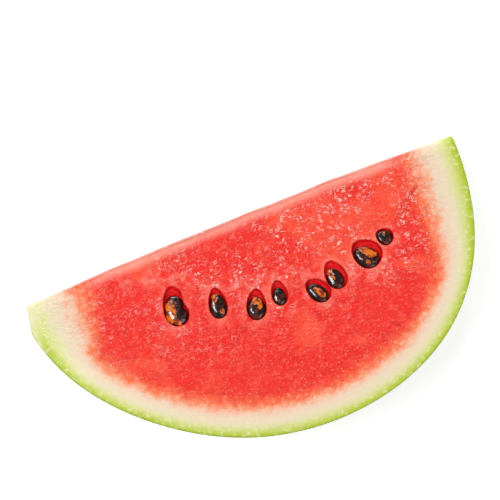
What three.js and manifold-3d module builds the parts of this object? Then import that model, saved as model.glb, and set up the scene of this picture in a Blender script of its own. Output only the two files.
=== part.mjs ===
// A wedge of watermelon with its seeds, lying on one of its two cut faces.
//
// Millimetres, +Z up. X runs along the melon from the blossom end (-X) to the stem end (+X).
// The wedge is one lune of the melon: two flat cuts meet in a thin ridge near the melon's axis.
// One cut is the resting face at z = 0. The other, the front face, rises from the ridge.
// Seeds sit loose in open pits in both cut faces.

import * as THREE from 'three';
import { mergeVertices } from 'three/addons/utils/BufferGeometryUtils.js';
import Module from 'manifold-3d';

const wasm = await Module();
wasm.setup();

const degrees = THREE.MathUtils.degToRad;

// Melon: pole to pole about 224 mm, widest diameter about 208 mm
const MELON_RADIUS = 108.4;
const MELON_SHAPE = [-3.06, 4.02, 2.96, -0.2, 0.8];
const PROFILE_STEPS = 72;
const TURN_STEPS = 240;

// Wedge: a twelfth of the melon, cut a little past the melon's axis
const WEDGE_ANGLE = degrees(30);
const CORNER_FROM_EDGE = 8;
const RIDGE_BOW = 3.4;
const TIP_X = 109.7;
const TIP_SLOPE = 0.19;
const KNIFE_REACH = 140;

// Seeds: flat, egg-shaped, a little below the cut face, in pits that are open to it
const SEED_THINNESS = 0.32;
const SEED_TAPER = 0.28;
const SEED_RECESS = 0.8;
const PIT_GAP = 0.5;
const SLACK_TURN = degrees(248);
const OUTLINE_STEPS = 24;

// Each seed: place along the face and deep from the corners' line, the way its point turns (degrees),
// length, width, and the slack that its pit has towards the ridge
const FRONT_SEEDS = [
  { along: 43.5, deep: 27.4, point: 262, length: 15.5, width: 11.0, slack: 3.2 },
  { along: 24.0, deep: 32.7, point: 260, length: 12.5, width: 8.0, slack: 2.0 },
  { along: 7.0, deep: 40.6, point: 250, length: 11.5, width: 9.0, slack: 3.6 },
  { along: -5.0, deep: 39.5, point: 262, length: 9.0, width: 6.5, slack: 3.2 },
  { along: -22.3, deep: 44.7, point: 302, length: 12.0, width: 7.5, slack: 2.6 },
  { along: -32.8, deep: 41.6, point: 278, length: 11.0, width: 8.0, slack: 3.8 },
  { along: -50.4, deep: 37.2, point: 307, length: 13.5, width: 10.2, slack: 3.4 },
  { along: -62.2, deep: 31.7, point: 314, length: 8.0, width: 7.0, slack: 0.6 },
];
const BACK_SEEDS = [
  { along: 58.0, deep: 34.0, point: 250, length: 11.0, width: 8.0, slack: 2.0 },
  { along: 38.0, deep: 43.0, point: 262, length: 12.5, width: 8.5, slack: 2.5 },
  { along: 17.0, deep: 40.0, point: 285, length: 9.0, width: 7.0, slack: 1.5 },
  { along: -3.0, deep: 45.0, point: 268, length: 12.0, width: 8.0, slack: 2.5 },
  { along: -27.0, deep: 38.0, point: 290, length: 13.0, width: 9.0, slack: 3.0 },
  { along: -49.0, deep: 31.0, point: 276, length: 10.0, width: 7.5, slack: 2.0 },
];

const fleshMaterial = new THREE.MeshStandardMaterial({ color: 0xe8452f, roughness: 0.35, metalness: 0 });
const seedMaterial = new THREE.MeshStandardMaterial({ color: 0x2a120c, roughness: 0.15, metalness: 0 });

function toManifold(geometry) {
  const bare = geometry.clone();
  bare.deleteAttribute('normal');
  bare.deleteAttribute('uv');
  const merged = mergeVertices(bare, 1e-4);
  const vertProperties = new Float32Array(merged.attributes.position.array);
  const triVerts = new Uint32Array(merged.index.array);
  return new wasm.Manifold(new wasm.Mesh({ numProp: 3, vertProperties, triVerts }));
}

function toGeometry(solid) {
  const mesh = solid.getMesh();
  const geometry = new THREE.BufferGeometry();
  geometry.setAttribute('position', new THREE.BufferAttribute(mesh.vertProperties, 3));
  geometry.setIndex(new THREE.BufferAttribute(mesh.triVerts, 1));
  geometry.computeVertexNormals();
  return geometry;
}

// The two cut faces as frames: x along the face, y deeper from the ridge, z out of the flesh
const front = new THREE.Group();
front.rotation.x = WEDGE_ANGLE;
front.position.set(0, CORNER_FROM_EDGE * Math.cos(WEDGE_ANGLE), CORNER_FROM_EDGE * Math.sin(WEDGE_ANGLE));
front.updateMatrix();

const back = new THREE.Group();
back.rotation.y = Math.PI;
back.position.set(0, CORNER_FROM_EDGE, 0);
back.updateMatrix();

// The middle plane of the wedge, halfway between its cuts, with its origin on the knife edge
const middle = new THREE.Matrix4().makeRotationX(WEDGE_ANGLE / 2);

// Distance from the melon's centre to its skin, at an angle from the stem end
function melonRadius(angle) {
  return MELON_SHAPE.reduce((sum, part, k) => sum + part * Math.cos((k + 1) * angle), MELON_RADIUS);
}

function buildMelon() {
  const profile = [];
  for (let i = 0; i <= PROFILE_STEPS; i += 1) {
    const angle = Math.PI * (1 - i / PROFILE_STEPS);
    const radius = melonRadius(angle);
    const offAxis = i === 0 || i === PROFILE_STEPS ? 0 : radius * Math.sin(angle);
    profile.push(new THREE.Vector2(offAxis, radius * Math.cos(angle)));
  }
  const melon = new THREE.LatheGeometry(profile, TURN_STEPS);
  melon.rotateZ(-Math.PI / 2);
  melon.translate(0, CORNER_FROM_EDGE / Math.cos(WEDGE_ANGLE / 2), 0);
  melon.applyMatrix4(middle);
  return toManifold(melon);
}

// What lies between the two knife cuts
function buildKnifeSector() {
  const sector = new THREE.Shape();
  sector.moveTo(0, 0);
  sector.lineTo(KNIFE_REACH, 0);
  sector.lineTo(KNIFE_REACH * Math.cos(WEDGE_ANGLE), KNIFE_REACH * Math.sin(WEDGE_ANGLE));
  sector.closePath();
  const prism = new THREE.ExtrudeGeometry(sector, { depth: 2 * KNIFE_REACH, bevelEnabled: false });
  prism.translate(0, 0, -KNIFE_REACH);
  prism.applyMatrix4(new THREE.Matrix4().makeBasis(
    new THREE.Vector3(0, 1, 0), new THREE.Vector3(0, 0, 1), new THREE.Vector3(1, 0, 0)));
  return toManifold(prism);
}

// Outline square to the middle plane: the ridge bows out, and the stem end is cut off straight
function buildTrim() {
  const corner = CORNER_FROM_EDGE * Math.cos(WEDGE_ANGLE / 2);
  const outline = new THREE.Shape();
  outline.moveTo(-KNIFE_REACH, corner);
  outline.lineTo(-TIP_X, corner);
  outline.quadraticCurveTo(0, corner - 2 * RIDGE_BOW, TIP_X, corner);
  outline.lineTo(TIP_X + TIP_SLOPE * KNIFE_REACH, corner + KNIFE_REACH);
  outline.lineTo(-KNIFE_REACH, corner + KNIFE_REACH);
  outline.closePath();
  const slab = new THREE.ExtrudeGeometry(outline, {
    depth: 2 * KNIFE_REACH, bevelEnabled: false, curveSegments: OUTLINE_STEPS,
  });
  slab.translate(0, 0, -KNIFE_REACH);
  slab.applyMatrix4(middle);
  return toManifold(slab);
}

// Egg outline with its point at +x
function eggPoint(angle, length, width) {
  const x = length / 2 * Math.cos(angle);
  const y = width / 2 * Math.sin(angle) * (1 - SEED_TAPER * Math.cos(angle));
  return new THREE.Vector2(x, y);
}

// The pit is the seed's outline, wider by a gap, longer and wider by its slack, and open to the face
function buildPit(seed, face) {
  const point = degrees(seed.point);
  const lean = SLACK_TURN - point;
  const length = seed.length + 2 * PIT_GAP + seed.slack * Math.abs(Math.cos(lean));
  const width = seed.width + 2 * PIT_GAP + seed.slack * Math.abs(Math.sin(lean));
  const depth = SEED_RECESS + seed.width * SEED_THINNESS + PIT_GAP;
  const outline = [];
  for (let i = 0; i < OUTLINE_STEPS; i += 1) {
    outline.push(eggPoint(2 * Math.PI * i / OUTLINE_STEPS, length, width));
  }
  const pit = new THREE.ExtrudeGeometry(new THREE.Shape(outline), {
    depth: 2 * depth, bevelEnabled: false,
  });
  pit.rotateZ(point);
  pit.translate(
    seed.along + seed.slack / 2 * Math.cos(SLACK_TURN),
    seed.deep + seed.slack / 2 * Math.sin(SLACK_TURN),
    -depth,
  );
  pit.applyMatrix4(face.matrix);
  return toManifold(pit);
}

// A flat egg, thickest behind its middle
function buildSeed(seed, name) {
  const thickness = seed.width * SEED_THINNESS;
  const geometry = new THREE.SphereGeometry(1, 16, 10);
  const place = geometry.attributes.position;
  for (let i = 0; i < place.count; i += 1) {
    const taper = 1 - SEED_TAPER * place.getX(i);
    place.setXYZ(
      i,
      place.getX(i) * seed.length / 2,
      place.getY(i) * taper * seed.width / 2,
      place.getZ(i) * thickness / 2,
    );
  }
  geometry.computeVertexNormals();
  const mesh = new THREE.Mesh(geometry, seedMaterial.clone());
  mesh.name = name;
  mesh.rotation.z = degrees(seed.point);
  mesh.position.set(seed.along, seed.deep, -SEED_RECESS - thickness / 2);
  return mesh;
}

function buildWedge() {
  let solid = buildMelon().intersect(buildKnifeSector()).intersect(buildTrim());
  FRONT_SEEDS.forEach((seed) => {
    solid = solid.subtract(buildPit(seed, front));
  });
  BACK_SEEDS.forEach((seed) => {
    solid = solid.subtract(buildPit(seed, back));
  });
  const mesh = new THREE.Mesh(toGeometry(solid), fleshMaterial);
  mesh.name = 'wedge';
  return mesh;
}

const wedge = buildWedge();
FRONT_SEEDS.forEach((seed, i) => front.add(buildSeed(seed, `front_seed_${i + 1}`)));
BACK_SEEDS.forEach((seed, i) => back.add(buildSeed(seed, `back_seed_${i + 1}`)));

// The origin is under the middle of the wedge's box
const box = new THREE.Box3().setFromObject(wedge);
const centre = box.getCenter(new THREE.Vector3());
const bench = new THREE.Group();
bench.position.set(-centre.x, -centre.y, -box.min.z);
bench.add(wedge, front, back);

const group = new THREE.Group();
group.add(bench);
group.updateMatrixWorld(true);

export default group;
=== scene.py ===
"""A wedge of seeded watermelon, lying on one of its two cut faces on a pale surface."""

import math

import bpy
import numpy as np
from mathutils import Matrix, Vector, noise


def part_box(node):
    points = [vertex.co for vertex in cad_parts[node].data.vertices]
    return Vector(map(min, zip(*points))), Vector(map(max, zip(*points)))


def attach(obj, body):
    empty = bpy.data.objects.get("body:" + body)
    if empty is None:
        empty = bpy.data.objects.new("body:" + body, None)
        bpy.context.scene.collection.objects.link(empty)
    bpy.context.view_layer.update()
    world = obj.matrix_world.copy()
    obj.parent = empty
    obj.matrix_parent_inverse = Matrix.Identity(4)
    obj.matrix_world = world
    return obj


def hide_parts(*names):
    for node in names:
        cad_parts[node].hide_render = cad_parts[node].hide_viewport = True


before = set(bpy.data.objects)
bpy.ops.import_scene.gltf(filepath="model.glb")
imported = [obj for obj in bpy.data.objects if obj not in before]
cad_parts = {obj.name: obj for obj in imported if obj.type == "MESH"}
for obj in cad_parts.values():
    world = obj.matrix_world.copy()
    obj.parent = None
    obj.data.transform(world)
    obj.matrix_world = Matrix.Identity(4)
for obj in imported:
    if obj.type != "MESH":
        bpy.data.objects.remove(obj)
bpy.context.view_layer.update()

# ---------------------------------------------------------------------------------------------
# The wedge: one twelfth of a melon. Skin, rind and flesh grew as one piece.
# Two flat knife cuts meet in a thin ridge near the melon's axis, and the stem end is cut off.
# It is worked in the front face's own frame, x along the melon, y deeper from the ridge and z out
# of the flesh, and turned into place at the end.

MM = 0.001
WEDGE_ANGLE = math.radians(30)
CORNER_FROM_EDGE = 8 * MM
RIDGE_BOW = 3.4 * MM
RIDGE_BOW_DEPTH = 34 * MM
TIP_X = 109.7 * MM
TIP_SLOPE = 0.19
MELON_CURVE = (104.18, -7.94, 9.64, -4.16, -1.6, 12.8)
VOXEL = 0.86 * MM
# the ridge's real edge wavers, and is held back so that it stays inside the plain bow
RIDGE_EASE = 0.7 * MM
RIDGE_WAVER = 0.45 * MM
RIDGE_WAVER_LENGTH = 17 * MM


def melon_radius(lean):
    """Distance from the melon's centre to its skin; lean is the cosine of the angle to the stem end."""
    return sum(part * lean**power for power, part in enumerate(MELON_CURVE)) * MM


def select_none():
    """Leaves nothing selected, in object mode, so that an operator takes only what is asked."""
    if bpy.context.object and bpy.context.object.mode != "OBJECT":
        bpy.ops.object.mode_set(mode="OBJECT")
    bpy.ops.object.select_all(action="DESELECT")


def work_on(piece):
    """Makes one piece the only one that the next operators act on."""
    select_none()
    piece.select_set(True)
    bpy.context.view_layer.objects.active = piece


def points_of(piece):
    """The piece's points as an array, one row each."""
    flat = np.empty(len(piece.data.vertices) * 3)
    piece.data.vertices.foreach_get("co", flat)
    return flat.reshape(-1, 3)


def normals_of(piece):
    """The directions in which the piece's surface faces at its points."""
    flat = np.empty(len(piece.data.vertices) * 3)
    piece.data.vertex_normals.foreach_get("vector", flat)
    return flat.reshape(-1, 3)


def move_points(piece, points):
    """Puts the piece's points where the array says."""
    piece.data.vertices.foreach_set("co", np.ascontiguousarray(points).ravel())
    piece.data.update()


def apply_modifier(piece, kind, **settings):
    """Adds a modifier, sets it up and applies it."""
    work_on(piece)
    modifier = piece.modifiers.new(kind.lower(), kind)
    for setting, value in settings.items():
        setattr(modifier, setting, value)
    bpy.ops.object.modifier_apply(modifier=modifier.name)


def smoothstep(start, end, value):
    """Rises from 0 at start to 1 at end, level at both."""
    part = np.clip((value - start) / (end - start), 0, 1)
    return part * part * (3 - 2 * part)


NOISE_GAIN = 1.6


def grain(points, size, seed):
    """Smooth noise from about -1 to 1 at each point, with lumps of about that size."""
    shift = Vector((seed * 7.3, seed * -3.1, seed * 5.7))
    return np.array([noise.noise(Vector(point) / size + shift) for point in points]) * NOISE_GAIN


# where the front face's frame lies: the widest ring and the blossom end touch the CAD box
wedge_low, wedge_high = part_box("wedge")
turns = np.linspace(0, math.pi, 1000)
profile = np.array([melon_radius(math.cos(turn)) for turn in turns])
widest = float((profile * np.sin(turns)).max())
blossom_reach = float((-profile * np.cos(turns)).max())
axis_below = CORNER_FROM_EDGE * math.tan(WEDGE_ANGLE / 2)
edge_y = wedge_high.y - widest - CORNER_FROM_EDGE
knife_edge = Vector((wedge_low.x + blossom_reach, edge_y, wedge_low.z))
FRONT_TO_WORLD = (
    Matrix.Translation(knife_edge)
    @ Matrix.Rotation(WEDGE_ANGLE, 4, "X")
    @ Matrix.Translation((0, CORNER_FROM_EDGE, 0))
)
WORLD_TO_FRONT = FRONT_TO_WORLD.inverted()
back_corner = knife_edge + Vector((0, CORNER_FROM_EDGE, 0))
BACK_TO_WORLD = Matrix.Translation(back_corner) @ Matrix.Rotation(math.pi, 4, "Y")

# a ball is added round the melon's axis, and each of its points goes out to the skin
select_none()
bpy.ops.mesh.primitive_uv_sphere_add(segments=180, ring_count=96, radius=1, rotation=(0, math.pi / 2, 0))
wedge = bpy.context.object
wedge.name = "watermelon_wedge"
bpy.ops.object.transform_apply(location=False, rotation=True, scale=False)
ways = points_of(wedge)
skin_points = ways * melon_radius(ways[:, 0])[:, None]
skin_points[:, 2] -= axis_below
move_points(wedge, skin_points)

# the two knife cuts, the flat of the ridge, and the trimmed stem end
half_angle = WEDGE_ANGLE / 2
knife_cuts = [
    ((TIP_X, 0, 0), (1, -TIP_SLOPE * math.cos(half_angle), TIP_SLOPE * math.sin(half_angle))),
    ((0, 0, 0), (0, -math.cos(half_angle), math.sin(half_angle))),
    ((0, -CORNER_FROM_EDGE, 0), (0, -math.sin(WEDGE_ANGLE), -math.cos(WEDGE_ANGLE))),
    ((0, 0, 0), (0, 0, 1)),
]
work_on(wedge)
bpy.ops.object.mode_set(mode="EDIT")
for place, outward in knife_cuts:
    bpy.ops.mesh.select_all(action="SELECT")
    bpy.ops.mesh.bisect(plane_co=place, plane_no=outward, use_fill=True, clear_outer=True)
bpy.ops.object.mode_set(mode="OBJECT")

# The seeds' pits, which lie in two rows of chance, one in each cut face.
# A pit is wider than its seed, has slack towards the ridge, and narrows a little to its floor.
# Turn is the way that the seed's point looks, in its cut face's frame. A notch is a pinch in one
# side, at a place along the seed and with a width that are shares of its half length.
SEED_RECESS = 0.8 * MM
SEED_THINNESS = 0.32
SLACK_TURN = math.radians(248)
PIT_GAP = 0.4 * MM
PIT_TAPER = 0.18
PIT_FLOOR = 0.94
NOTCH_PLACE = 0.12
NOTCH_WIDTH = 0.30
seeds = {
    "front_seed_1": {"turn": 262, "length": 15.5, "width": 11.0, "slack": 3.2, "notch": 0.30},
    "front_seed_2": {"turn": 260, "length": 12.5, "width": 8.0, "slack": 2.0},
    "front_seed_3": {"turn": 250, "length": 11.5, "width": 9.0, "slack": 3.6},
    "front_seed_4": {"turn": 262, "length": 9.0, "width": 6.5, "slack": 3.2},
    "front_seed_5": {"turn": 302, "length": 12.0, "width": 7.5, "slack": 2.6},
    "front_seed_6": {"turn": 278, "length": 11.0, "width": 8.0, "slack": 3.8},
    "front_seed_7": {"turn": 307, "length": 13.5, "width": 10.2, "slack": 3.4},
    "front_seed_8": {"turn": 314, "length": 8.0, "width": 7.0, "slack": 0.6},
    "back_seed_1": {"turn": 250, "length": 11.0, "width": 8.0, "slack": 2.0},
    "back_seed_2": {"turn": 262, "length": 12.5, "width": 8.5, "slack": 2.5},
    "back_seed_3": {"turn": 285, "length": 9.0, "width": 7.0, "slack": 1.5},
    "back_seed_4": {"turn": 268, "length": 12.0, "width": 8.0, "slack": 2.5},
    "back_seed_5": {"turn": 290, "length": 13.0, "width": 9.0, "slack": 3.0},
    "back_seed_6": {"turn": 276, "length": 10.0, "width": 7.5, "slack": 2.0},
}
for name, seed in seeds.items():
    low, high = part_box(name)
    seed["face"] = FRONT_TO_WORLD if name.startswith("front") else BACK_TO_WORLD
    seed["middle"] = seed["face"].inverted() @ ((low + high) / 2)
    seed["turn"] = math.radians(seed["turn"])
    for measure in ("length", "width", "slack"):
        seed[measure] *= MM
    lean = SLACK_TURN - seed["turn"]
    seed["pit_length"] = seed["length"] + 2 * PIT_GAP + seed["slack"] * abs(math.cos(lean))
    seed["pit_width"] = seed["width"] + 2 * PIT_GAP + seed["slack"] * abs(math.sin(lean))
    seed["pit_depth"] = SEED_RECESS + SEED_THINNESS * seed["width"] + PIT_GAP
    shift = Vector((math.cos(SLACK_TURN), math.sin(SLACK_TURN), 0)) * seed["slack"] / 2
    pit_middle = Vector((seed["middle"].x, seed["middle"].y, 0)) + shift
    seed["pit_to_front"] = (
        WORLD_TO_FRONT @ seed["face"] @ Matrix.Translation(pit_middle) @ Matrix.Rotation(seed["turn"], 4, "Z")
    )


def notch_side(egg, seed):
    """Pinches one side of an egg of unit size, where its seed has a notch."""
    pinch = seed.get("notch", 0) * np.exp(-(((egg[:, 0] - NOTCH_PLACE) / NOTCH_WIDTH) ** 2))
    egg[:, 1] *= np.where(egg[:, 1] < 0, 1 - pinch, 1)


cutters = []
for seed in seeds.values():
    select_none()
    bpy.ops.mesh.primitive_cylinder_add(vertices=40, radius=1, depth=2)
    cutter = bpy.context.object
    rim = points_of(cutter)
    low_ring = rim[:, 2] < 0
    rim[:, 1] *= 1 - PIT_TAPER * rim[:, 0]
    notch_side(rim, seed)
    rim[low_ring, :2] *= PIT_FLOOR
    rim *= (seed["pit_length"] / 2, seed["pit_width"] / 2, seed["pit_depth"])
    move_points(cutter, rim)
    cutter.data.transform(seed["pit_to_front"])
    cutters.append(cutter)
select_none()
for cutter in cutters:
    cutter.select_set(True)
bpy.context.view_layer.objects.active = cutters[0]
bpy.ops.object.join()
pit_cutter = bpy.context.object
apply_modifier(wedge, "BOOLEAN", object=pit_cutter, operation="DIFFERENCE", solver="EXACT", use_self=True)
bpy.data.objects.remove(pit_cutter)

# an even skin of small quads over the whole wedge, for the relief that follows
wedge.data.remesh_voxel_size = VOXEL
work_on(wedge)
bpy.ops.object.voxel_remesh()
apply_modifier(wedge, "SMOOTH", factor=0.5, iterations=2)

# the ridge bows outwards: points near it slide towards the knife edge, each in its own plane
points = points_of(wedge)
edge_line = np.array((0, -CORNER_FROM_EDGE, 0))
middle_way = np.array((0, math.cos(half_angle), -math.sin(half_angle)))
from_edge = (points - edge_line) @ middle_way
flat_edge = CORNER_FROM_EDGE * math.cos(half_angle)
waver = RIDGE_WAVER * grain(points * (1, 0, 0), RIDGE_WAVER_LENGTH, 4)
bow = (RIDGE_BOW - RIDGE_EASE + waver) * np.clip(1 - (points[:, 0] / TIP_X) ** 2, 0, 1)
pull = bow * (1 - smoothstep(flat_edge, flat_edge + RIDGE_BOW_DEPTH, from_edge))
stretch = 1 - pull / from_edge
points[:, 1:] = (points[:, 1:] - edge_line[1:]) * stretch[:, None] + edge_line[1:]
move_points(wedge, points)

# what each point is: how far under the skin, how near the ridge, in or near a pit, on which cut
CUT_REACH = 6 * MM
PIT_HALO = 2.2 * MM
PIT_FELT = 2.5
PIT_RIM = 1.12
centre = np.array((0, 0, -axis_below))
out = points - centre
reach = np.linalg.norm(out, axis=1)
under_skin = np.array(melon_radius(out[:, 0] / reach)) - reach
facing = normals_of(wedge)
back_out = np.array((0, -math.sin(WEDGE_ANGLE), -math.cos(WEDGE_ANGLE)))
on_front = smoothstep(0.5, 0.9, facing[:, 2]) * (points[:, 2] > -CUT_REACH)
on_back = smoothstep(0.5, 0.9, facing @ back_out) * ((points - edge_line) @ back_out > -CUT_REACH)
ridge_y = -bow
from_ridge = np.where(on_front > 0, points[:, 1] - ridge_y, from_edge - flat_edge + bow)
in_pit = np.zeros(len(points))
by_pit = np.zeros(len(points))
for seed in seeds.values():
    to_pit = np.array(seed["pit_to_front"].inverted())
    local = points @ to_pit[:3, :3].T + to_pit[:3, 3]
    run = local[:, 0] / (seed["pit_length"] / 2)
    across = local[:, 1] / (seed["pit_width"] / 2) / np.clip(1 - PIT_TAPER * run, 0.2, 2)
    ring = np.hypot(run, across)
    here = (np.abs(local[:, 2]) < seed["pit_depth"] + 1 * MM) & (ring < PIT_FELT)
    sunk = smoothstep(0.3 * MM, 1.0 * MM, -local[:, 2])
    in_pit = np.maximum(in_pit, here * (ring < PIT_RIM) * sunk)
    past_rim = (ring - 1) * seed["pit_width"] / 2
    by_pit = np.maximum(by_pit, here * np.exp(-((past_rim / PIT_HALO) ** 2)))

# relief of the cut flesh, in mm: it sinks a little under the rind, swells and dips, and is grainy,
# while the firm rind stays almost flat. The ridge's corner is worn round.
FLESH_SINK, FLESH_SWELL, FLESH_LUMP, FLESH_GRAIN = 0.35, 0.30, 0.12, 0.07
RIND_SINK, RIND_LUMP = 0.04, 0.03
CORNER_WEAR = 0.9 * MM
CORNER_WIDTH = 4 * MM
flesh = smoothstep(11 * MM, 22 * MM, under_skin)
swells = grain(points * (1, 1.6, 1), 17 * MM, 1)
lumps = grain(points, 4.5 * MM, 2)
grains = grain(points, 1.9 * MM, 3)
uneven = FLESH_SWELL * swells + FLESH_LUMP * lumps + FLESH_GRAIN * grains
relief = flesh * (-FLESH_SINK + uneven) * MM
relief += (1 - flesh) * (-RIND_SINK + RIND_LUMP * lumps) * MM
relief *= 1 - in_pit
round_off = CORNER_WEAR * np.clip(1 - from_ridge / CORNER_WIDTH, 0, 1) ** 2
cut = np.maximum(on_front, on_back)
points += facing * (cut * np.clip(relief, -1, 0))[:, None]
points[:, 2] -= round_off * smoothstep(-4 * MM, -0.5 * MM, points[:, 2])
move_points(wedge, points)


def paint_points(piece, name, values):
    """Keeps a value for each point of a piece, for its material to read."""
    attribute = piece.data.attributes.new(name, "FLOAT", "POINT")
    attribute.data.foreach_set("value", np.ascontiguousarray(values, dtype=np.float32))


# empty seed beds and slits (along, deep, half length, half width, turn), and the pale strand that
# the seeds hang on (along, deep), in mm and degrees
STRAND_WIDTH = 3.0
scars = [
    (17.0, 47.6, 1.5, 1.2, 20),
    (14.0, 51.2, 1.2, 0.9, 0),
    (22.4, 51.6, 2.2, 0.9, 75),
    (7.8, 56.5, 1.6, 0.6, 10),
    (-83.6, 16.5, 2.4, 0.5, 30),
    (-52.0, 73.0, 2.0, 0.5, 320),
    (-44.0, 58.0, 1.4, 0.6, 300),
    (70.0, 29.0, 2.0, 0.6, 80),
    (58.0, 44.0, 1.8, 0.5, 60),
]
strand = [
    (62, 6), (51, 9), (36, 13), (28, 20), (18, 25), (3, 30),
    (-11, 31), (-22, 36), (-36, 36), (-46, 46), (-58, 49),
]
face_points = points[:, :2] / MM
# the slits and empty seed beds are not cut into the mesh; they get painted shade
painted_slit_shade = np.zeros(len(points))
for along, deep, half_length, half_width, turn in scars:
    cosine, sine = math.cos(math.radians(turn)), math.sin(math.radians(turn))
    off = face_points - (along, deep)
    run = (off[:, 0] * cosine + off[:, 1] * sine) / half_length
    across = (off[:, 1] * cosine - off[:, 0] * sine) / half_width
    painted_slit_shade = np.maximum(painted_slit_shade, on_front * smoothstep(2.0, 1.0, np.hypot(run, across)))
strand_share = np.zeros(len(points))
for start, end in zip(strand, strand[1:]):
    way = np.subtract(end, start)
    part = np.clip((face_points - start) @ way / (way @ way), 0, 1)
    away = np.linalg.norm(face_points - start - part[:, None] * way, axis=1)
    strand_share = np.maximum(strand_share, on_front * np.exp(-((away / STRAND_WIDTH) ** 2)))
paint_points(wedge, "scar", painted_slit_shade)
paint_points(wedge, "vein", strand_share)
paint_points(wedge, "in_pit", in_pit)
paint_points(wedge, "by_pit", by_pit)
paint_points(wedge, "from_ridge", np.clip(from_ridge / MM, 0, 40))
paint_points(wedge, "on_cut", cut)
wedge.data.transform(FRONT_TO_WORLD)
# the ridge's narrow flat stands upright, as a knife leaves it on a board
UPRIGHT_REACH = 7 * MM
resting = points_of(wedge)
left_of_edge = CORNER_FROM_EDGE - bow
top_y = knife_edge.y + left_of_edge * math.cos(WEDGE_ANGLE)
top_z = left_of_edge * math.sin(WEDGE_ANGLE)
overhang = np.clip(top_z - resting[:, 2], 0, None) * math.tan(half_angle)
resting[:, 1] -= overhang * (1 - smoothstep(0, UPRIGHT_REACH, resting[:, 1] - top_y - overhang))
resting[:, 2] = np.maximum(resting[:, 2], 0)
move_points(wedge, resting)
work_on(wedge)
bpy.ops.object.shade_smooth()


def paint(red, green, blue):
    """A colour named by its 0 to 255 screen values, as the shader wants it."""
    parts = [value / 255 for value in (red, green, blue)]
    linear = [part / 12.92 if part <= 0.04045 else ((part + 0.055) / 1.055) ** 2.4 for part in parts]
    return (*linear, 1)


class Shading:
    """The nodes of one material, added one after another."""

    def __init__(self, name):
        self.material = bpy.data.materials.new(name)
        self.material.use_nodes = True
        self.tree = self.material.node_tree
        self.shader = self.tree.nodes["Principled BSDF"]
        self.place = self.node("ShaderNodeTexCoord").outputs["Object"]

    def node(self, kind, inputs=None, **settings):
        made = self.tree.nodes.new(kind)
        for setting, value in settings.items():
            setattr(made, setting, value)
        for socket, value in (inputs or {}).items():
            self.feed(made.inputs[socket], value)
        return made

    def feed(self, socket, value):
        if isinstance(value, bpy.types.NodeSocket):
            self.tree.links.new(value, socket)
        else:
            socket.default_value = value

    def math(self, operation, first, second=0.0, third=0.0, clamp=False):
        inputs = {0: first, 1: second, 2: third}
        return self.node("ShaderNodeMath", inputs, operation=operation, use_clamp=clamp).outputs[0]

    def times(self, first, *others):
        for other in others:
            first = self.math("MULTIPLY", first, other)
        return first

    def vector(self, operation, first, second=(0, 0, 0), output="Vector", scale=1.0):
        inputs = {0: first, 1: second, 3: scale}
        return self.node("ShaderNodeVectorMath", inputs, operation=operation).outputs[output]

    def rise(self, value, start, end, low=0.0, high=1.0):
        inputs = {"Value": value, "From Min": start, "From Max": end, "To Min": low, "To Max": high}
        made = self.node("ShaderNodeMapRange", inputs, interpolation_type="SMOOTHSTEP", clamp=True)
        return made.outputs[0]

    def mix(self, share, first, second):
        # a colour mix takes its colours at inputs 6 and 7, and gives the result at output 2
        made = self.node("ShaderNodeMix", data_type="RGBA")
        self.feed(made.inputs[0], share)
        self.feed(made.inputs[6], first)
        self.feed(made.inputs[7], second)
        return made.outputs[2]

    def tinted(self, colour, tints):
        """Lays tints over a colour, each within its part: from where its noise starts to full."""
        for patches, start, full, part, share, tint in tints:
            amount = self.times(self.rise(patches, start, full), part, share)
            colour = self.mix(amount, colour, paint(*tint))
        return colour

    def ramp(self, value, stops):
        made = self.node("ShaderNodeValToRGB", {"Fac": value})
        ramp = made.color_ramp
        while len(ramp.elements) < len(stops):
            ramp.elements.new(0.5)
        for element, (position, colour) in zip(ramp.elements, stops):
            element.position = position
            element.color = colour
        return made.outputs["Color"]

    def frame_of(self, matrix, unit):
        """Places in a frame of the object's own, in that unit."""
        inputs = {
            "Vector": self.place,
            "Location": matrix.to_translation(),
            "Rotation": matrix.to_euler(),
            "Scale": (unit, unit, unit),
        }
        return self.node("ShaderNodeMapping", inputs, vector_type="TEXTURE").outputs[0]

    def drawn_out(self, place, scale, turn=0.0):
        """Places turned about z, and then drawn out along an axis where its scale is small."""
        turned = self.node("ShaderNodeMapping", {"Vector": place, "Rotation": (0, 0, turn)}).outputs[0]
        return self.vector("MULTIPLY", turned, scale)

    def noise(self, place, size, detail=2.0, roughness=0.5, distortion=0.0, output="Fac"):
        inputs = {
            "Vector": place,
            "Scale": 1 / size,
            "Detail": detail,
            "Roughness": roughness,
            "Distortion": distortion,
        }
        return self.node("ShaderNodeTexNoise", inputs).outputs[output]

    def cells(self, place, size, output="Distance"):
        inputs = {"Vector": place, "Scale": 1 / size}
        return self.node("ShaderNodeTexVoronoi", inputs, voronoi_dimensions="2D").outputs[output]

    def specks(self, place, size, largest, fewest=0.35):
        """Separate round specks, each of its own size, from 0 between them to 1."""
        picked = self.node("ShaderNodeSeparateColor", {0: self.cells(place, size, "Color")}).outputs[0]
        reach = self.times(self.rise(picked, fewest, 1.0), largest)
        return self.rise(self.math("SUBTRACT", reach, self.cells(place, size)), 0.0, 0.07)

    def attribute(self, name):
        return self.node("ShaderNodeAttribute", attribute_name=name).outputs["Fac"]


flesh_look = Shading("flesh_rind_and_skin")
s = flesh_look
front = s.frame_of(FRONT_TO_WORLD, MM)
front_xyz = s.node("ShaderNodeSeparateXYZ", {0: front}).outputs

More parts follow.
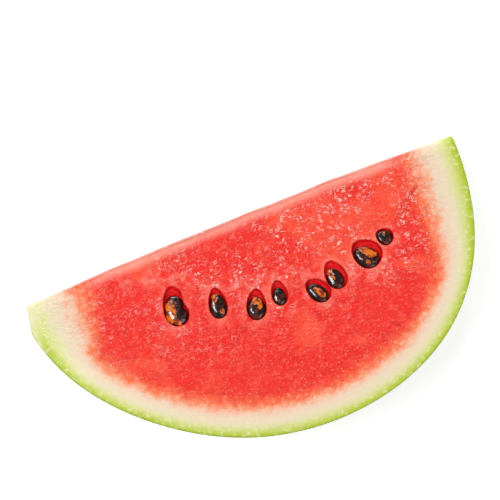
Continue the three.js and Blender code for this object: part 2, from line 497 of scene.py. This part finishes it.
# depth under the skin, in mm, straight from the melon's shape
from_centre = s.vector("SUBTRACT", front, (0, 0, -axis_below / MM))
reach_node = s.vector("LENGTH", from_centre, output="Value")
axis_xyz = s.node("ShaderNodeSeparateXYZ", {0: from_centre}).outputs
lean_node = s.math("DIVIDE", axis_xyz["X"], reach_node)
skin_reach = MELON_CURVE[-1]
for part in reversed(MELON_CURVE[:-1]):
    skin_reach = s.math("MULTIPLY_ADD", lean_node, skin_reach, part)
depth = s.math("SUBTRACT", skin_reach, reach_node)

# Rind colours from the skin inwards, over a span in mm. The rind is thicker at both ends, and its
# trimmed tip looks some mm deeper than it is. Its edge towards the flesh wanders by so many mm in
# waves, lobes and a fine fringe.
RIND_SPAN = 40
BLOSSOM_THICKENING, STEM_THICKENING = 0.36, 0.48
WAVE_REACH, LOBE_REACH, FRINGE_REACH = 5.0, 2.6, 4.0
TIP_LOOKS_DEEPER = 7.0
blossom_nearness = s.rise(lean_node, -0.80, -0.99)
stem_nearness = s.rise(lean_node, 0.91, 0.998)
thinner = s.math("MULTIPLY_ADD", stem_nearness, -STEM_THICKENING, 1.0)
thinner = s.math("MULTIPLY_ADD", blossom_nearness, -BLOSSOM_THICKENING, thinner)
lobes = s.math("SUBTRACT", s.cells(front, 3.4), 0.45)
waves = s.math("SUBTRACT", s.noise(front, 9.0), 0.5)
fringe = s.math("SUBTRACT", s.noise(front, 1.1, detail=2), 0.5)
ragged = s.math("MULTIPLY_ADD", lobes, LOBE_REACH, s.times(fringe, FRINGE_REACH))
ragged = s.math("MULTIPLY_ADD", waves, WAVE_REACH, ragged)
ragged = s.times(ragged, s.rise(depth, 5, 14))
trimmed_at = s.math("MULTIPLY_ADD", front_xyz["Y"], TIP_SLOPE, TIP_X / MM)
tip_nearness = s.rise(s.math("SUBTRACT", trimmed_at, front_xyz["X"]), TIP_LOOKS_DEEPER, 0.0)
shown_depth = s.math("MULTIPLY_ADD", tip_nearness, TIP_LOOKS_DEEPER, depth)
rind_depth = s.times(s.math("MULTIPLY_ADD", shown_depth, thinner, ragged), 1 / RIND_SPAN)
rind_colours = [
    (0.0, (142, 172, 8)),
    (0.8, (172, 192, 42)),
    (1.9, (190, 202, 88)),
    (3.0, (204, 210, 122)),
    (4.8, (219, 215, 160)),
    (6.5, (228, 215, 182)),
    (9.6, (234, 208, 182)),
    (11.5, (240, 190, 162)),
    (13.2, (244, 158, 120)),
    (15.2, (244, 116, 74)),
    (17.3, (241, 86, 46)),
    (20.0, (236, 44, 16)),
    (23.0, (236, 24, 6)),
    (28.0, (236, 18, 4)),
]
colour = s.ramp(rind_depth, [(mm / RIND_SPAN, paint(*tint)) for mm, tint in rind_colours])
red_share = s.rise(rind_depth, 14.4 / RIND_SPAN, 24 / RIND_SPAN)
pale_share = s.math("SUBTRACT", 1.0, red_share)

# the green under the skin is mottled, and the white has faint blotches. A tint is its noise, where
# that starts and is full, the part of the melon that it lies in, its share and its colour.
mottling = s.noise(front, 2.6, detail=4, roughness=0.65)
green_share = s.rise(shown_depth, 6.0, 1.0)
rind_tints = [
    (mottling, 0.50, 0.64, green_share, 0.40, (224, 228, 158)),
    (mottling, 0.48, 0.34, green_share, 0.55, (170, 190, 58)),
    (mottling, 0.52, 0.68, pale_share, 0.30, (248, 232, 208)),
]
colour = s.tinted(colour, rind_tints)

# the flesh is paler and deeper in broad turns, and grainy all over
zones = s.noise(front, 30.0, detail=1, distortion=0.8)
zones = s.math("MULTIPLY_ADD", s.rise(depth, 44, 24), -0.07, zones)
folds = s.noise(s.drawn_out(front, (1.2, 0.8, 1.0), 0.5), 9.0, detail=2, distortion=1.6)
grain_node = s.noise(front, 1.3, detail=3, roughness=0.75)
flesh_tints = [
    (zones, 0.50, 0.62, red_share, 0.70, (248, 78, 44)),
    (zones, 0.47, 0.36, red_share, 0.70, (234, 8, 2)),
    (folds, 0.54, 0.66, red_share, 0.34, (249, 88, 58)),
    (folds, 0.45, 0.35, red_share, 0.22, (240, 8, 4)),
    (grain_node, 0.53, 0.66, red_share, 0.38, (251, 106, 76)),
    (grain_node, 0.46, 0.34, red_share, 0.28, (234, 6, 4)),
]
colour = s.tinted(colour, flesh_tints)
vein = s.times(s.attribute("vein"), s.rise(s.noise(front, 3.6, detail=3), 0.42, 0.62))
colour = s.mix(s.times(vein, 0.42), colour, paint(255, 150, 132))

# painted shade: a few small slits and empty seed beds, which the mesh doesn't cut, are drawn deep red for the
# shade inside them
colour = s.mix(s.times(s.attribute("scar"), 0.85), colour, paint(222, 0, 0))

# torn, wet cells: fine pale specks everywhere. Painted highlights: wavy strokes and flecks of glint
# where the flesh is wettest, which is in patches, nearer the ridge than the rind and nearer the
# blossom end than the stem end
speck = s.times(s.specks(front, 1.5, 0.27, fewest=0.55), s.rise(depth, 9, 18))
glint_zone = s.times(
    s.rise(s.noise(front, 24.0, detail=1), 0.36, 0.56, 0.15, 1.0),
    s.rise(front_xyz["Y"], 66, 34, 0.12, 1.0),
    s.rise(front_xyz["X"], 80, 0, 0.35, 1.0),
)
bent = s.vector("ADD", front, s.vector("SCALE", s.noise(front, 5.0, output="Color"), scale=5.0))
along_place = s.drawn_out(bent, (0.45, 2.3, 0.8), 0.15)
askew_place = s.drawn_out(bent, (0.55, 2.4, 0.8), -0.65)
glint_strokes = s.math("MAXIMUM", s.specks(along_place, 1.6, 0.38, 0.15), s.specks(askew_place, 1.5, 0.36, 0.25))
glint_strokes = s.times(glint_strokes, s.rise(s.noise(front, 6.0, detail=2), 0.43, 0.54), glint_zone, s.rise(depth, 13, 22))
glint_flecks = s.times(s.specks(bent, 2.9, 0.20, fewest=0.6), glint_zone, s.rise(depth, 11, 20))
weave = s.noise(along_place, 1.5, detail=3, roughness=0.6)
weave_tints = [
    (weave, 0.54, 0.68, red_share, 0.38, (253, 122, 94)),
    (weave, 0.46, 0.33, red_share, 0.38, (234, 6, 6)),
]
colour = s.tinted(colour, weave_tints)
colour = s.mix(s.times(speck, 0.50), colour, paint(255, 168, 146))
# painted highlights: the glints of light off the wet flesh, as pale strokes and flecks
colour = s.mix(s.times(glint_strokes, 0.80), colour, paint(255, 208, 198))
colour = s.mix(s.times(glint_flecks, 0.80), colour, paint(255, 222, 216))

# paler at the thin ridge, a painted highlight for the light that its worn edge catches and lets through;
# paler round the pits, also a painted highlight; and deep red inside the pits
ridge = s.attribute("from_ridge")
ridge_wave = s.math("MULTIPLY_ADD", s.noise(front, 12.0), 3.0, -1.5)
# painted highlight: the ridge's thin, rounded edge is drawn pale pink, as if lit and glowing through
ridge_highlight_share = s.times(s.rise(s.math("ADD", ridge, ridge_wave), 6.0, -0.5), red_share)
colour = s.mix(s.times(ridge_highlight_share, 0.85), colour, paint(255, 170, 152))
# painted highlight round the pits, for the light on raised flesh at their rims
pit_rim_highlight = s.attribute("by_pit")
colour = s.mix(s.times(pit_rim_highlight, s.rise(folds, 0.36, 0.60), 0.40), colour, paint(255, 138, 120))
pit = s.attribute("in_pit")
pit_red = s.mix(s.rise(s.noise(front, 1.2), 0.4, 0.6), paint(240, 0, 14), paint(255, 24, 30))
colour = s.mix(pit, colour, pit_red)

# the skin: pale green with dark, feathery stripes that run from end to end
STRIPES = 20.0
STRIPE_WANDER = 0.32
round_axis = s.math("ARCTAN2", axis_xyz["Z"], axis_xyz["Y"])
feather = s.noise(front, 9.0, detail=5, roughness=0.65)
stripe_turn = s.math("MULTIPLY_ADD", feather, STRIPE_WANDER, round_axis)
stripe = s.math("COSINE", s.times(s.math("ADD", stripe_turn, 0.10), STRIPES))
veins = s.noise(front, 3.2, detail=6, roughness=0.7, distortion=1.2)
skin_light = s.mix(s.rise(veins, 0.42, 0.62), paint(150, 178, 66), paint(190, 204, 104))
skin_dark = s.mix(s.rise(veins, 0.40, 0.66), paint(28, 62, 24), paint(66, 108, 42))
skin_colour = s.mix(s.rise(stripe, -0.15, 0.45), skin_light, skin_dark)
on_cut = s.attribute("on_cut")
lime_edge = s.rise(s.math("ABSOLUTE", front_xyz["Z"]), 2.6, 0.8)
skin_colour = s.mix(lime_edge, skin_colour, paint(150, 178, 40))
skin_share = s.times(s.rise(depth, 0.9, 0.3), s.math("SUBTRACT", 1.0, on_cut))
colour = s.mix(skin_share, colour, skin_colour)

# wet cut flesh under a clear film of juice; the rind is smoother
fine = s.noise(front, 1.0, detail=3, roughness=0.6)
height = s.math("MULTIPLY_ADD", fine, 0.35, s.times(s.noise(along_place, 1.3), 0.7))
height = s.math("MULTIPLY_ADD", glint_strokes, 0.30, height)
height = s.times(height, s.rise(depth, 3, 18, 0.08, 1.0))
bump = s.node("ShaderNodeBump", {"Height": height, "Strength": 0.8, "Distance": 1.2 * MM})
s.feed(s.shader.inputs["Base Color"], colour)
s.feed(s.shader.inputs["Roughness"], s.rise(red_share, 0.0, 1.0, 0.42, 0.36))
s.feed(s.shader.inputs["Normal"], bump.outputs[0])
s.feed(s.shader.inputs["Coat Normal"], bump.outputs[0])
s.shader.inputs["Subsurface Weight"].default_value = 0.20
s.shader.inputs["Subsurface Radius"].default_value = (1.0, 0.35, 0.25)
s.shader.inputs["Subsurface Scale"].default_value = 1.8 * MM
s.shader.inputs["Coat Weight"].default_value = 0.30
s.shader.inputs["Coat Roughness"].default_value = 0.05
s.shader.inputs["Specular IOR Level"].default_value = 0.16
wedge.data.materials.append(flesh_look.material)
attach(wedge, "root")
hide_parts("wedge")

# ---------------------------------------------------------------------------------------------
# The seeds: flat, egg-shaped pips with a hard, glossy coat, dark brown to black, with tan patches
# where the coat is thin. Each one lies loose in its pit, wet with juice.

SEED_TAPER = 0.14
SEED_DENTS = 0.06
DENT_SIZE = 0.7
seed_look = Shading("seed_coat")
s = seed_look
in_mm = s.vector("SCALE", s.place, scale=1 / MM)
tan_share = s.attribute("tan")
mottle = s.noise(in_mm, 2.2, detail=2, roughness=0.5, distortion=1.2)
tan_edge = s.rise(s.math("MULTIPLY_ADD", s.math("SUBTRACT", mottle, 0.5), 0.6, tan_share), 0.48, 0.52)
coat_dark = s.mix(s.rise(mottle, 0.52, 0.60), paint(16, 4, 2), paint(92, 26, 10))
coat_tan = s.mix(s.rise(s.noise(in_mm, 2.0, detail=2), 0.42, 0.56), paint(132, 40, 8), paint(218, 112, 16))
colour = s.mix(tan_edge, coat_dark, coat_tan)
bump = s.node("ShaderNodeBump", {"Height": mottle, "Strength": 0.5, "Distance": 0.5 * MM})
s.feed(s.shader.inputs["Base Color"], colour)
film = s.node("ShaderNodeBump", {"Height": mottle, "Strength": 0.12, "Distance": 0.5 * MM})
s.feed(s.shader.inputs["Coat Normal"], film.outputs[0])
s.feed(s.shader.inputs["Normal"], bump.outputs[0])
s.shader.inputs["Roughness"].default_value = 0.30
s.shader.inputs["Specular IOR Level"].default_value = 0.1
s.shader.inputs["Coat Weight"].default_value = 0.9
s.shader.inputs["Coat Roughness"].default_value = 0.03

# tan patches: place towards the point and across, and size, in parts of the seed's half length
tan_patches = {
    "front_seed_1": [(0.25, 0.40, 0.48), (-0.30, 0.50, 0.45), (-0.80, 0.05, 0.30)],
    "front_seed_2": [(0.62, 0.25, 0.36), (-0.45, -0.40, 0.26), (0.15, 0.55, 0.20)],
    "front_seed_3": [(0.60, 0.15, 0.34), (0.55, -0.30, 0.30), (0.15, -0.45, 0.26)],
    "front_seed_4": [(-0.45, 0.10, 0.16)],
    "front_seed_5": [(0.10, -0.20, 0.42), (-0.35, -0.15, 0.34)],
    "front_seed_6": [(0.60, 0.20, 0.40), (0.10, 0.10, 0.18)],
    "front_seed_7": [(0.35, -0.55, 0.42), (-0.15, -0.50, 0.40), (-0.30, 0.35, 0.22)],
    "front_seed_8": [(0.30, -0.60, 0.15)],
    "back_seed_1": [(0.50, 0.20, 0.36)],
    "back_seed_2": [(-0.20, 0.30, 0.40), (0.55, 0.00, 0.25)],
    "back_seed_3": [(0.10, -0.30, 0.30)],
    "back_seed_4": [(0.60, 0.10, 0.34)],
    "back_seed_5": [(0.20, 0.30, 0.44), (-0.50, -0.20, 0.28)],
    "back_seed_6": [(-0.40, 0.20, 0.30)],
}
for number, (name, seed) in enumerate(seeds.items()):
    select_none()
    bpy.ops.mesh.primitive_uv_sphere_add(segments=56, ring_count=36, radius=1)
    pip = bpy.context.object
    pip.name = name.replace("seed", "pip")
    unit = points_of(pip)
    tan = np.zeros(len(unit))
    for run, across, size in tan_patches[name]:
        away = np.hypot(unit[:, 0] - run, unit[:, 1] - across) / size
        tan = np.maximum(tan, 1 - 0.5 * away)
    paint_points(pip, "tan", np.clip(tan, 0, 1))
    body = unit.copy()
    body[:, 1] *= 1 - SEED_TAPER * body[:, 0]
    notch_side(body, seed)
    body *= (seed["length"] / 2, seed["width"] / 2, SEED_THINNESS / 2 * seed["width"])
    body *= (1 - SEED_DENTS * np.abs(grain(unit, DENT_SIZE, 20 + number)))[:, None]
    move_points(pip, body)
    place = Matrix.Translation(seed["middle"]) @ Matrix.Rotation(seed["turn"], 4, "Z")
    pip.data.transform(seed["face"] @ place)
    pip.data.materials.append(seed_look.material)
    bpy.ops.object.shade_smooth()
    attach(pip, "root")
    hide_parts(name)

# ---------------------------------------------------------------------------------------------
# The studio: a plain pale surface under soft light from all round, and a long lens that looks down
# on the front face with the ridge at the top of the frame.

select_none()
bpy.ops.mesh.primitive_plane_add(size=6, location=(0, 0, -0.2 * MM))
floor = bpy.context.object
floor.name = "floor"
floor_look = Shading("pale_surface")
s = floor_look
s.shader.inputs["Base Color"].default_value = (0.97, 0.97, 0.97, 1)
s.shader.inputs["Roughness"].default_value = 0.8
s.shader.inputs["Specular IOR Level"].default_value = 0.2
s.shader.inputs["Emission Color"].default_value = (1, 1, 1, 1)
s.shader.inputs["Emission Strength"].default_value = 0.42
floor.data.materials.append(floor_look.material)

world = bpy.data.worlds.new("studio")
bpy.context.scene.world = world
world.use_nodes = True
world.node_tree.nodes["Background"].inputs["Color"].default_value = (1, 1, 1, 1)
world.node_tree.nodes["Background"].inputs["Strength"].default_value = 0.26

# Softboxes: where each one stands, its two sides in metres, and its power in watts. The glint and
# spark boxes stand near where the front face mirrors them to the camera.
LIT_POINT = Vector((0, 0, 0.03))
softboxes = {
    "ridge_softbox": ((0.32, -1.12, 0.55), 0.50, 0.50, 1.8),
    "low_softbox": ((-0.25, -1.00, 0.07), 0.80, 0.12, 3.0),
    "top_softbox": ((-0.30, 0.25, 1.22), 0.80, 0.80, 4.9),
    "glint_softbox": ((0.40, -0.66, 0.93), 0.20, 0.40, 5.0),
    "spark_softbox": ((-0.22, -0.95, 0.78), 0.12, 0.12, 0.9),
}
for name, (place, width, height, power) in softboxes.items():
    lamp = bpy.data.lights.new(name, "AREA")
    lamp.shape = "RECTANGLE"
    lamp.size = width
    lamp.size_y = height
    lamp.energy = power
    box = bpy.data.objects.new(name, lamp)
    box.location = place
    box.rotation_euler = (LIT_POINT - Vector(place)).to_track_quat("-Z", "Y").to_euler()
    bpy.context.collection.objects.link(box)

TARGET = Vector((-1.2, -27.5, -15.9)) * MM
AZIMUTH = math.radians(3.8)
ELEVATION = math.radians(65.75)
ROLL = math.radians(154.66)
DISTANCE = 0.95
LENS = 137.9
lens = bpy.data.cameras.new("camera")
camera = bpy.data.objects.new("camera", lens)
bpy.context.collection.objects.link(camera)
bpy.context.scene.camera = camera
lens.lens = LENS
lens.clip_start = 0.05
aside = math.sin(AZIMUTH) * math.cos(ELEVATION)
forward = -math.cos(AZIMUTH) * math.cos(ELEVATION)
look_back = Vector((aside, forward, math.sin(ELEVATION)))
aim = (-look_back).to_track_quat("-Z", "Y").to_matrix().to_4x4()
stand = Matrix.Translation(TARGET + look_back * DISTANCE)
camera.matrix_world = stand @ aim @ Matrix.Rotation(ROLL, 4, "Z")

bpy.context.scene.view_settings.view_transform = "Standard"
